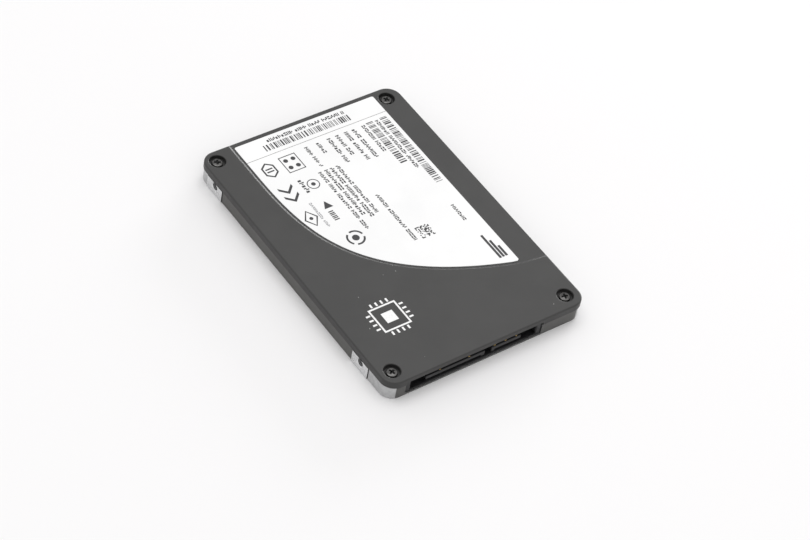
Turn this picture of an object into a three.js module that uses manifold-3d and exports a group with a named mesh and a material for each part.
// A 2.5-inch solid state drive, 7 mm high, as an assembly of separate pieces.
// Units are millimetres. +Z is up, towards the label. The connector end faces -Y.
// The origin is the middle of the drive's footprint, on its underside.

import * as THREE from 'three';
import { mergeVertices } from 'three/addons/utils/BufferGeometryUtils.js';
import Module from 'manifold-3d';

const wasm = await Module();
wasm.setup();

// ---- driving dimensions ----

// Whole drive
const WIDTH = 69.85;
const LENGTH = 100.2;
const HEIGHT = 7.0;
const CORNER_RADIUS = 4.5;
const HALF_W = WIDTH / 2;
const HALF_L = LENGTH / 2;

// Top cover
const COVER_LIP_Z = 4.6;
const COVER_INSIDE_Z = 5.6;
const COVER_WALL = 1.2;
const COVER_EDGE_ROUND = 0.7;
const LOWER_LEVEL_Z = 6.6;
const STEP_OFFSET = 0.7;
const STEP_EXIT_Y = -30.2;
const BOSS_LENGTH = 7.6;
const BOSS_INNER_X = 27.2;

// Labels, on the lower level of the cover
const LABEL_LEFT = -23.4;
const LABEL_RIGHT = 26.6;
const LABEL_TOP = 48.6;
const LABEL_BOTTOM = -28.1;
const LABEL_CURVE_START_Y = 36.9;
const LABEL_CURVE_HANDLE_Y = 10.8;
const LABEL_CURVE_HANDLE_2 = new THREE.Vector2(-21.8, -14.1);
const LABEL_CUT_Y = 41.4;
const LABEL_CUT_GAP = 0.16;
const LABEL_Z = 6.63;
const LABEL_THICKNESS = 0.1;
const LABEL_CORNER = 0.6;
const LABEL_END_SLOPE = 0.29;

// Base shell
const BASE_TOP_Z = 4.35;
const FLOOR = 0.8;
const BASE_INSET = 0.25;
const BASE_WALL = 1.25;
const PAD_HALF_LENGTH = 3.9;
const BLOCK_INNER_X = 28.7;
const FAR_BLOCK_Y = 36.4;
const NEAR_BLOCK_Y = -31.8;
const LEDGE_LENGTH = 4.0;
const LEDGE_DEPTH = 1.4;
const LEDGE_Y = [-24, 6, 30];

// Standard mounting holes, tapped M3, modelled at the tapping drill size
const MOUNT_X = 30.86;
const MOUNT_FAR_Y = 40.5;
const MOUNT_NEAR_Y = -36.1;
const MOUNT_SIDE_Z = 3.0;
const TAP_RADIUS = 1.25;
const BOTTOM_HOLE_DEPTH = 3.2;
const SIDE_HOLE_DEPTH = 2.5;

// Cover screws, in a pattern that sits a little off the middle of the drive
const SCREW_X = 30.45;
const SCREW_Y = 45.65;
const SCREW_SHIFT = [-0.35, 0.35];
const COUNTERBORE_RADIUS = 2.5;
const COUNTERBORE_DEPTH = 1.3;
const SCREW_HEAD_RADIUS = 1.7;
const SCREW_HEAD_HEIGHT = 0.8;
const SCREW_RADIUS = 1.0;
const SCREW_TIP_Z = 1.6;
const SCREW_CLEARANCE = 0.2;
const SCREW_GAP = 0.03;
const RECESS_ARM = 1.0;
const RECESS_WIDTH = 0.36;
const RECESS_DEPTH = 0.55;

// Circuit board
const BOARD_Z = 2.25;
const BOARD_THICKNESS = 1.0;
const BOARD_TOP_Z = BOARD_Z + BOARD_THICKNESS;
const BOARD_HALF_W = 33.1;
const BOARD_END_HALF_W = 28.3;
const BOARD_FAR_Y = 48.2;
const BOARD_NEAR_Y = -41.7;
const BOARD_NOTCH_GAP = 0.3;
const FILM_THICKNESS = 0.1;

// Connector, offset from the drive's centre line
const CONNECTOR_X = -4.8;
const SHROUD_HALF_W = 23.7;
const SHROUD_END_WALL = 1.7;
const SHROUD_FRONT_Y = -49.6;
const SHROUD_BACK_Y = -42.0;
const SHROUD_BACK_WALL = 1.6;
const SHROUD_Z = [0.95, 5.1];
const SHROUD_LIP = 0.45;
const DOORWAY_GAP = 0.15;
const TONGUE_Z = [2.25, 3.45];
const TONGUE_TIP_Y = -49.4;
const POWER_TONGUE_X = [-21.5, -0.9];
const DATA_TONGUE_X = [1.5, 11.9];
const KEY_WIDTH = 1.2;
const KEY_Z = 1.75;
const PIN_PITCH = 1.27;
const PIN_WIDTH = 0.84;
const PIN_Z = [3.3, 3.5];
const PIN_BACK_Y = -40.2;
const PIN_TIP_Y = -48.0;
const PIN_STEP = 0.5;
const SLOT_CLEARANCE = 0.09;

// Memory packages: two rows of five on each face of the board
const FLASH_SIZE = [12.0, 18.4, 1.0];
const FLASH_LEAD_SPAN = 20.0;
const FLASH_PITCH_X = 12.9;
const FLASH_ROW_Y = [25.6, 5.0];
const FLASH_COLUMNS = 5;
const CHIP_STANDOFF = 0.08;
const THERMAL_PAD_SIZE = 15;

// ---- materials ----

const material = (color, roughness, metalness) =>
  new THREE.MeshStandardMaterial({ color, roughness, metalness });

const MATERIALS = {
  coverPaint: material(0x4f4e4c, 0.55, 0.2),
  label: material(0xf4f4f2, 0.6, 0.0),
  blackSteel: material(0x2b2a29, 0.35, 0.8),
  aluminium: material(0xc4c6c8, 0.4, 0.9),
  board: material(0x1f5a36, 0.45, 0.0),
  film: material(0x2a2a28, 0.5, 0.0),
  chip: material(0x252527, 0.6, 0.0),
  plastic: material(0x1b1b1c, 0.5, 0.0),
  gold: material(0xd9b25c, 0.25, 1.0),
  thermal: material(0x7f9db8, 0.8, 0.0),
  ferrite: material(0x4a4a4c, 0.7, 0.1),
  tantalum: material(0xc08a2e, 0.55, 0.0),
};

// ---- solids and boolean helpers ----

function toSolid(geometry) {
  const bare = geometry.clone();
  bare.deleteAttribute('normal');
  bare.deleteAttribute('uv');
  const welded = mergeVertices(bare, 1e-5);
  return new wasm.Manifold(new wasm.Mesh({
    numProp: 3,
    vertProperties: new Float32Array(welded.attributes.position.array),
    triVerts: new Uint32Array(welded.index.array),
  }));
}

function toGeometry(solid) {
  const mesh = solid.getMesh();
  const geometry = new THREE.BufferGeometry();
  geometry.setAttribute('position', new THREE.BufferAttribute(mesh.vertProperties, 3));
  geometry.setIndex(new THREE.BufferAttribute(mesh.triVerts, 1));
  geometry.computeVertexNormals();
  return geometry;
}

function block([x0, x1], [y0, y1], [z0, z1]) {
  const geometry = new THREE.BoxGeometry(x1 - x0, y1 - y0, z1 - z0);
  geometry.translate((x0 + x1) / 2, (y0 + y1) / 2, (z0 + z1) / 2);
  return toSolid(geometry);
}

function prism(shape, [z0, z1], curveSegments = 6) {
  const geometry = new THREE.ExtrudeGeometry(shape, { depth: z1 - z0, bevelEnabled: false, curveSegments });
  geometry.translate(0, 0, z0);
  return toSolid(geometry);
}

function uprightRod(x, y, radius, [z0, z1], sides = 20) {
  const geometry = new THREE.CylinderGeometry(radius, radius, z1 - z0, sides);
  geometry.rotateX(Math.PI / 2);
  geometry.translate(x, y, (z0 + z1) / 2);
  return toSolid(geometry);
}

function crosswiseRod(y, z, radius, [x0, x1], sides = 20) {
  const geometry = new THREE.CylinderGeometry(radius, radius, x1 - x0, sides);
  geometry.rotateZ(Math.PI / 2);
  geometry.translate((x0 + x1) / 2, y, z);
  return toSolid(geometry);
}

function roundedOutline(halfW, halfL, radius) {
  const shape = new THREE.Shape();
  shape.moveTo(-halfW + radius, -halfL);
  shape.lineTo(halfW - radius, -halfL);
  shape.absarc(halfW - radius, -halfL + radius, radius, -Math.PI / 2, 0);
  shape.lineTo(halfW, halfL - radius);
  shape.absarc(halfW - radius, halfL - radius, radius, 0, Math.PI / 2);
  shape.lineTo(-halfW + radius, halfL);
  shape.absarc(-halfW + radius, halfL - radius, radius, Math.PI / 2, Math.PI);
  shape.lineTo(-halfW, -halfL + radius);
  shape.absarc(-halfW + radius, -halfL + radius, radius, Math.PI, Math.PI * 1.5);
  return shape;
}

const SIDES = [-1, 1];
const CORNERS = SIDES.flatMap((sx) => SIDES.map((sy) => [sx, sy]));

// Where the screw of a corner stands, and how far it sits below those on the upper level
function screwPlace([sx, sy]) {
  const x = sx * SCREW_X + SCREW_SHIFT[0];
  const y = sy * SCREW_Y + SCREW_SHIFT[1];
  const drop = sx > 0 && sy > 0 ? HEIGHT - LOWER_LEVEL_Z : 0;
  return { x, y, drop };
}

// The range from near to far, measured outwards on the given side of the middle
function outwards(side, near, far) {
  return side > 0 ? [near, far] : [-far, -near];
}

const drive = new THREE.Group();

function addPiece(name, geometry, pieceMaterial) {
  const mesh = new THREE.Mesh(geometry, pieceMaterial);
  mesh.name = name;
  drive.add(mesh);
  return mesh;
}

// ---- label outline, shared by the sticker and the step beside it ----

const labelCurve = new THREE.CubicBezierCurve(
  new THREE.Vector2(LABEL_LEFT, LABEL_CURVE_START_Y),
  new THREE.Vector2(LABEL_LEFT, LABEL_CURVE_HANDLE_Y),
  LABEL_CURVE_HANDLE_2,
  new THREE.Vector2(LABEL_RIGHT, LABEL_BOTTOM),
);

// The label's curved edge moved outwards, away from the label
function offsetLabelCurve(distance, steps) {
  const points = [];
  for (let i = 0; i <= steps; i += 1) {
    const t = i / steps;
    const tangent = labelCurve.getTangent(t);
    const outward = new THREE.Vector2(tangent.y, -tangent.x);
    points.push(labelCurve.getPoint(t).addScaledVector(outward, distance));
  }
  return points;
}

// ---- opening in the end wall that the connector looks out of ----

function connectorDoorway(zRange) {
  const halfW = SHROUD_HALF_W + DOORWAY_GAP;
  return block([CONNECTOR_X - halfW, CONNECTOR_X + halfW], [-LENGTH, SHROUD_BACK_Y], zRange);
}

// ---- top cover ----

// Everything above the cover's lower level, on the label's side of the step
function lowerLevelCut() {
  const beyond = 5;
  const step = offsetLabelCurve(STEP_OFFSET, 18);
  const shape = new THREE.Shape();
  shape.moveTo(HALF_W + beyond, HALF_L + beyond);
  shape.lineTo(LABEL_LEFT - STEP_OFFSET, HALF_L + beyond);
  step.forEach((point) => shape.lineTo(point.x, point.y));
  shape.lineTo(HALF_W, STEP_EXIT_Y);
  shape.lineTo(HALF_W + beyond, STEP_EXIT_Y);
  return prism(shape, [LOWER_LEVEL_Z, HEIGHT + beyond]);
}

function coverBody() {
  const round = COVER_EDGE_ROUND;
  const outline = roundedOutline(HALF_W - round, HALF_L - round, CORNER_RADIUS - round);
  const geometry = new THREE.ExtrudeGeometry(outline, {
    depth: HEIGHT - 2 * round,
    bevelSize: round,
    bevelThickness: round,
    bevelSegments: 3,
    curveSegments: 6,
  });
  geometry.translate(0, 0, round);
  const belowLip = block([-WIDTH, WIDTH], [-LENGTH, LENGTH], [-1, COVER_LIP_Z]);
  return toSolid(geometry).subtract(belowLip);
}

function coverHollow() {
  const inner = roundedOutline(HALF_W - COVER_WALL, HALF_L - COVER_WALL, CORNER_RADIUS - COVER_WALL);
  let hollow = prism(inner, [COVER_LIP_Z - 1, COVER_INSIDE_Z]);
  for (const [sx, sy] of CORNERS) {
    const boss = block(
      outwards(sx, BOSS_INNER_X, WIDTH),
      outwards(sy, HALF_L - BOSS_LENGTH, LENGTH),
      [COVER_LIP_Z - 2, COVER_INSIDE_Z + 1],
    );
    hollow = hollow.subtract(boss);
  }
  return hollow;
}

function makeCover() {
  let cover = coverBody().subtract(lowerLevelCut()).subtract(coverHollow());
  cover = cover.subtract(connectorDoorway([0, COVER_INSIDE_Z]));
  for (const corner of CORNERS) {
    const { x, y, drop } = screwPlace(corner);
    const seat = [HEIGHT - COUNTERBORE_DEPTH - drop, HEIGHT + 1];
    cover = cover.subtract(uprightRod(x, y, COUNTERBORE_RADIUS, seat, 24));
    cover = cover.subtract(uprightRod(x, y, SCREW_RADIUS + SCREW_CLEARANCE, [0, HEIGHT], 16));
  }
  return toGeometry(cover);
}

// ---- labels ----

function makeMainLabel() {
  const top = LABEL_CUT_Y - LABEL_CUT_GAP / 2;
  const corner = LABEL_CORNER;
  const shape = new THREE.Shape();
  shape.moveTo(LABEL_RIGHT, LABEL_BOTTOM + corner);
  shape.lineTo(LABEL_RIGHT, top);
  shape.lineTo(LABEL_LEFT, top);
  shape.lineTo(LABEL_LEFT, LABEL_CURVE_START_Y);
  labelCurve.getPoints(24).slice(1, -1).forEach((point) => shape.lineTo(point.x, point.y));
  shape.lineTo(LABEL_RIGHT - corner, LABEL_BOTTOM + LABEL_END_SLOPE * corner);
  return toGeometry(prism(shape, [LABEL_Z, LABEL_Z + LABEL_THICKNESS]));
}

function makeLabelStrip() {
  const bottom = LABEL_CUT_Y + LABEL_CUT_GAP / 2;
  const corner = LABEL_CORNER;
  const shape = new THREE.Shape();
  shape.moveTo(LABEL_LEFT, bottom);
  shape.lineTo(LABEL_RIGHT, bottom);
  shape.lineTo(LABEL_RIGHT, LABEL_TOP - corner);
  shape.absarc(LABEL_RIGHT - corner, LABEL_TOP - corner, corner, 0, Math.PI / 2);
  shape.lineTo(LABEL_LEFT + corner, LABEL_TOP);
  shape.absarc(LABEL_LEFT + corner, LABEL_TOP - corner, corner, Math.PI / 2, Math.PI);
  return toGeometry(prism(shape, [LABEL_Z, LABEL_Z + LABEL_THICKNESS]));
}

// ---- cover screws ----

function makeCoverScrew() {
  const head = HEIGHT - COUNTERBORE_DEPTH + SCREW_GAP;
  const top = head + SCREW_HEAD_HEIGHT;
  const profile = [
    new THREE.Vector2(0, SCREW_TIP_Z),
    new THREE.Vector2(SCREW_RADIUS - 0.3, SCREW_TIP_Z),
    new THREE.Vector2(SCREW_RADIUS, SCREW_TIP_Z + 0.4),
    new THREE.Vector2(SCREW_RADIUS, head),
    new THREE.Vector2(SCREW_HEAD_RADIUS, head),
    new THREE.Vector2(SCREW_HEAD_RADIUS, top - 0.3),
    new THREE.Vector2(SCREW_HEAD_RADIUS - 0.3, top),
    new THREE.Vector2(0, top),
  ];
  const lathe = new THREE.LatheGeometry(profile, 20);
  lathe.rotateX(Math.PI / 2);
  const depth = [top - RECESS_DEPTH, top + 1];
  const half = RECESS_WIDTH / 2;
  const cross = block([-RECESS_ARM, RECESS_ARM], [-half, half], depth)
    .add(block([-half, half], [-RECESS_ARM, RECESS_ARM], depth));
  return toGeometry(toSolid(lathe).subtract(cross));
}

// ---- base shell ----

function baseHollow() {
  const outer = HALF_W - BASE_INSET - BASE_WALL;
  const ends = HALF_L - BASE_INSET - BASE_WALL;
  const shape = new THREE.Shape();
  shape.moveTo(-BLOCK_INNER_X, -ends);
  shape.lineTo(BLOCK_INNER_X, -ends);
  shape.lineTo(BLOCK_INNER_X, NEAR_BLOCK_Y);
  shape.lineTo(outer, NEAR_BLOCK_Y);
  shape.lineTo(outer, FAR_BLOCK_Y);
  shape.lineTo(BLOCK_INNER_X, FAR_BLOCK_Y);
  shape.lineTo(BLOCK_INNER_X, ends);
  shape.lineTo(-BLOCK_INNER_X, ends);
  shape.lineTo(-BLOCK_INNER_X, FAR_BLOCK_Y);
  shape.lineTo(-outer, FAR_BLOCK_Y);
  shape.lineTo(-outer, NEAR_BLOCK_Y);
  shape.lineTo(-BLOCK_INNER_X, NEAR_BLOCK_Y);
  return prism(shape, [FLOOR, BASE_TOP_Z + 1]);
}

function makeBase() {
  const outline = roundedOutline(HALF_W - BASE_INSET, HALF_L - BASE_INSET, CORNER_RADIUS - BASE_INSET);
  let base = prism(outline, [0, BASE_TOP_Z]).subtract(baseHollow());
  base = base.subtract(connectorDoorway([FLOOR, BASE_TOP_Z + 1]));
  const wallX = HALF_W - BASE_INSET - BASE_WALL;
  for (const side of SIDES) {
    for (const y of LEDGE_Y) {
      const ledge = block(
        outwards(side, wallX - LEDGE_DEPTH, wallX + 0.3),
        [y - LEDGE_LENGTH / 2, y + LEDGE_LENGTH / 2],
        [FLOOR - 0.1, BOARD_Z - 0.05],
      );
      base = base.add(ledge);
    }
    for (const y of [MOUNT_FAR_Y, MOUNT_NEAR_Y]) {
      const pad = block(
        outwards(side, HALF_W - 1, HALF_W),
        [y - PAD_HALF_LENGTH, y + PAD_HALF_LENGTH],
        [0, BASE_TOP_Z],
      );
      const reach = outwards(side, HALF_W - SIDE_HOLE_DEPTH, HALF_W + 1);
      const sideHole = crosswiseRod(y, MOUNT_SIDE_Z, TAP_RADIUS, reach);
      const bottomHole = uprightRod(side * MOUNT_X, y, TAP_RADIUS, [-1, BOTTOM_HOLE_DEPTH]);
      base = base.add(pad).subtract(sideHole).subtract(bottomHole);
    }
  }
  for (const corner of CORNERS) {
    const { x, y, drop } = screwPlace(corner);
    const bore = [SCREW_TIP_Z - drop - 0.3, BASE_TOP_Z + 1];
    base = base.subtract(uprightRod(x, y, SCREW_RADIUS + SCREW_CLEARANCE, bore, 16));
  }
  return toGeometry(base);
}

// ---- circuit board and insulating film ----

function boardOutline(halfW, inset) {
  const farNotchY = FAR_BLOCK_Y - BOARD_NOTCH_GAP - inset;
  const nearNotchY = NEAR_BLOCK_Y + BOARD_NOTCH_GAP + inset;
  const endHalfW = BOARD_END_HALF_W - inset;
  const shape = new THREE.Shape();
  shape.moveTo(-endHalfW, BOARD_NEAR_Y + inset);
  shape.lineTo(endHalfW, BOARD_NEAR_Y + inset);
  shape.lineTo(endHalfW, nearNotchY);
  shape.lineTo(halfW, nearNotchY);
  shape.lineTo(halfW, farNotchY);
  shape.lineTo(endHalfW, farNotchY);
  shape.lineTo(endHalfW, BOARD_FAR_Y - inset);
  shape.lineTo(-endHalfW, BOARD_FAR_Y - inset);
  shape.lineTo(-endHalfW, farNotchY);
  shape.lineTo(-halfW, farNotchY);
  shape.lineTo(-halfW, nearNotchY);
  shape.lineTo(-endHalfW, nearNotchY);
  return shape;
}

function makeBoard() {
  return toGeometry(prism(boardOutline(BOARD_HALF_W, 0), [BOARD_Z, BOARD_TOP_Z]));
}

function makeFilm() {
  const clearOfLedges = HALF_W - BASE_INSET - BASE_WALL - LEDGE_DEPTH - 0.2;
  const lowest = FLOOR + 0.05;
  return toGeometry(prism(boardOutline(clearOfLedges, 0.8), [lowest, lowest + FILM_THICKNESS]));
}

// ---- chips and small parts on the board ----

// A thin package with a row of formed leads along both ends, as one solid
function leadedPackage(width, length, height, leadSpan) {
  const body = length / 2;
  const foot = leadSpan / 2;
  const shoulder = foot - 0.45;
  const mid = height / 2;
  const lead = 0.13;
  const half = [
    [body, 0.1],
    [body, mid - lead / 2],
    [shoulder - 0.1, mid - lead / 2],
    [shoulder - 0.1, 0],
    [foot, 0],
    [foot, lead],
    [shoulder, lead],
    [shoulder, mid + lead / 2],
    [body, mid + lead / 2],
    [body, height],
  ];
  const shape = new THREE.Shape();
  shape.moveTo(half[0][0], half[0][1]);
  half.slice(1).forEach(([y, z]) => shape.lineTo(y, z));
  [...half].reverse().forEach(([y, z]) => shape.lineTo(-y, z));
  const geometry = new THREE.ExtrudeGeometry(shape, { depth: width, bevelEnabled: false });
  geometry.translate(0, 0, -width / 2);
  geometry.rotateX(Math.PI / 2);
  geometry.rotateZ(Math.PI / 2);
  return geometry;
}

// A moulded body whose upper edges are chamfered
function mouldedBody(width, length, height, chamfer) {
  const shape = new THREE.Shape();
  shape.moveTo(-width / 2 + chamfer, -length / 2 + chamfer);
  shape.lineTo(width / 2 - chamfer, -length / 2 + chamfer);
  shape.lineTo(width / 2 - chamfer, length / 2 - chamfer);
  shape.lineTo(-width / 2 + chamfer, length / 2 - chamfer);
  const geometry = new THREE.ExtrudeGeometry(shape, {
    depth: height - chamfer,
    bevelSize: chamfer,
    bevelThickness: chamfer,
    bevelSegments: 1,
  });
  const squareBase = toSolid(geometry).subtract(block([-width, width], [-length, length], [-height, 0]));
  return toGeometry(squareBase);
}

function addFlash() {
  const [width, length, height] = FLASH_SIZE;
  const geometry = leadedPackage(width, length, height, FLASH_LEAD_SPAN);
  let number = 0;
  for (const rowY of FLASH_ROW_Y) {
    for (let column = 0; column < FLASH_COLUMNS; column += 1) {
      number += 1;
      const x = (column - (FLASH_COLUMNS - 1) / 2) * FLASH_PITCH_X;
      const upper = addPiece(`flash_top_${number}`, geometry, MATERIALS.chip);
      upper.position.set(x, rowY, BOARD_TOP_Z + CHIP_STANDOFF);
      const lower = addPiece(`flash_bottom_${number}`, geometry, MATERIALS.chip);
      lower.rotation.y = Math.PI;
      lower.position.set(x, rowY, BOARD_Z - CHIP_STANDOFF);
    }
  }
}

// Parts that stand on the upper face of the board: name, centre, width, length, height, chamfer
const BOARD_PARTS = [
  ['controller', [2.5, -20.5], [17, 17, 1.25], 0.35, 'chip'],
  ['power_inductor', [24.5, -17.5], [6.0, 6.0, 1.8], 0.5, 'ferrite'],
  ['tantalum_capacitor', [24.5, -26.5], [7.2, 4.2, 1.8], 0.3, 'tantalum'],
  ['crystal', [-16.0, -36.5], [5.0, 3.2, 1.0], 0.25, 'aluminium'],
];

function addBoardParts() {
  for (const [name, [x, y], [width, length, height], chamfer, slot] of BOARD_PARTS) {
    const piece = addPiece(name, mouldedBody(width, length, height, chamfer), MATERIALS[slot]);
    piece.position.set(x, y, BOARD_TOP_Z + CHIP_STANDOFF);
  }
  const memory = addPiece('working_memory', leadedPackage(22.2, 10.2, 1.0, 11.8), MATERIALS.chip);
  memory.rotation.z = Math.PI / 2;
  memory.position.set(-18.5, -20.5, BOARD_TOP_Z + CHIP_STANDOFF);
}

function addThermalPad() {
  const [, [x, y], [, , height]] = BOARD_PARTS[0];
  const half = THERMAL_PAD_SIZE / 2;
  const zRange = [BOARD_TOP_Z + CHIP_STANDOFF + height + 0.04, COVER_INSIDE_Z - 0.04];
  const pad = block([x - half, x + half], [y - half, y + half], zRange);
  addPiece('thermal_pad', toGeometry(pad), MATERIALS.thermal);
}

// ---- connector ----

// Centres of the contacts on one tongue, from left to right
function pinCentres([x0, x1], count) {
  const first = (x0 + x1) / 2 - ((count - 1) / 2) * PIN_PITCH;
  return Array.from({ length: count }, (_, i) => first + i * PIN_PITCH);
}

const POWER_PINS = pinCentres(POWER_TONGUE_X, 15);
const DATA_PINS = pinCentres(DATA_TONGUE_X, 7);

function makeConnectorHousing() {
  const left = CONNECTOR_X - SHROUD_HALF_W;
  const right = CONNECTOR_X + SHROUD_HALF_W;
  const [z0, z1] = SHROUD_Z;
  let housing = block([left, right], [SHROUD_FRONT_Y, SHROUD_BACK_Y], [z0, z1]);
  housing = housing.subtract(block(
    [left + SHROUD_END_WALL, right - SHROUD_END_WALL],
    [SHROUD_FRONT_Y - 1, SHROUD_BACK_Y - SHROUD_BACK_WALL],
    [z0 + SHROUD_LIP, z1 - SHROUD_LIP],
  ));
  const root = SHROUD_BACK_Y - 0.5;
  const keyStarts = [POWER_TONGUE_X[1] - KEY_WIDTH, DATA_TONGUE_X[0]];
  for (const range of [POWER_TONGUE_X, DATA_TONGUE_X]) {
    housing = housing.add(block(range, [TONGUE_TIP_Y, root], TONGUE_Z));
  }
  for (const x of keyStarts) {
    housing = housing.add(block([x, x + KEY_WIDTH], [TONGUE_TIP_Y, root], [KEY_Z, TONGUE_Z[1]]));
  }
  const half = PIN_WIDTH / 2 + SLOT_CLEARANCE;
  for (const x of [...POWER_PINS, ...DATA_PINS]) {
    const slot = [PIN_Z[0] - SLOT_CLEARANCE, PIN_Z[1] + SLOT_CLEARANCE];
    housing = housing.subtract(block([x - half, x + half], [PIN_TIP_Y - 1.2, SHROUD_BACK_Y + 1], slot));
  }
  return toGeometry(housing);
}

// One gold contact: a flat blade with a turned-down tip, seen from the side and given its width
function makeContact(tipY) {
  const [z0, z1] = PIN_Z;
  const shape = new THREE.Shape();
  shape.moveTo(tipY, z0);
  shape.lineTo(PIN_BACK_Y, z0);
  shape.lineTo(PIN_BACK_Y, z1);
  shape.lineTo(tipY + 0.35, z1);
  shape.lineTo(tipY, z0 + 0.08);
  const geometry = new THREE.ExtrudeGeometry(shape, { depth: PIN_WIDTH, bevelEnabled: false });
  geometry.translate(0, 0, -PIN_WIDTH / 2);
  geometry.rotateX(Math.PI / 2);
  geometry.rotateZ(Math.PI / 2);
  return geometry;
}

// Contacts that mate first are longer. Reach 2 is the longest and 0 the shortest.
const POWER_REACH = { 4: 2, 12: 2, 3: 1, 5: 1, 6: 1, 7: 1, 10: 1, 13: 1 };
const DATA_REACH = { 1: 2, 4: 2, 7: 2 };

function addContacts(name, centres, reaches) {
  centres.forEach((x, i) => {
    const reach = reaches[i + 1] ?? 0;
    const contact = addPiece(`${name}_${i + 1}`, makeContact(PIN_TIP_Y - reach * PIN_STEP), MATERIALS.gold);
    contact.position.x = x;
  });
}

// ---- assembly ----

addPiece('base_shell', makeBase(), MATERIALS.aluminium);
addPiece('top_cover', makeCover(), MATERIALS.coverPaint);
addPiece('label', makeMainLabel(), MATERIALS.label);
addPiece('label_strip', makeLabelStrip(), MATERIALS.label);
addPiece('circuit_board', makeBoard(), MATERIALS.board);
addPiece('insulating_film', makeFilm(), MATERIALS.film);
addFlash();
addBoardParts();
addThermalPad();
addPiece('connector_housing', makeConnectorHousing(), MATERIALS.plastic);
addContacts('power_contact', POWER_PINS, POWER_REACH);
addContacts('data_contact', DATA_PINS, DATA_REACH);

const screwGeometry = makeCoverScrew();
CORNERS.forEach((corner, i) => {
  const { x, y, drop } = screwPlace(corner);
  const screw = addPiece(`cover_screw_${i + 1}`, screwGeometry, MATERIALS.blackSteel);
  screw.position.set(x, y, -drop);
});

export default drive;
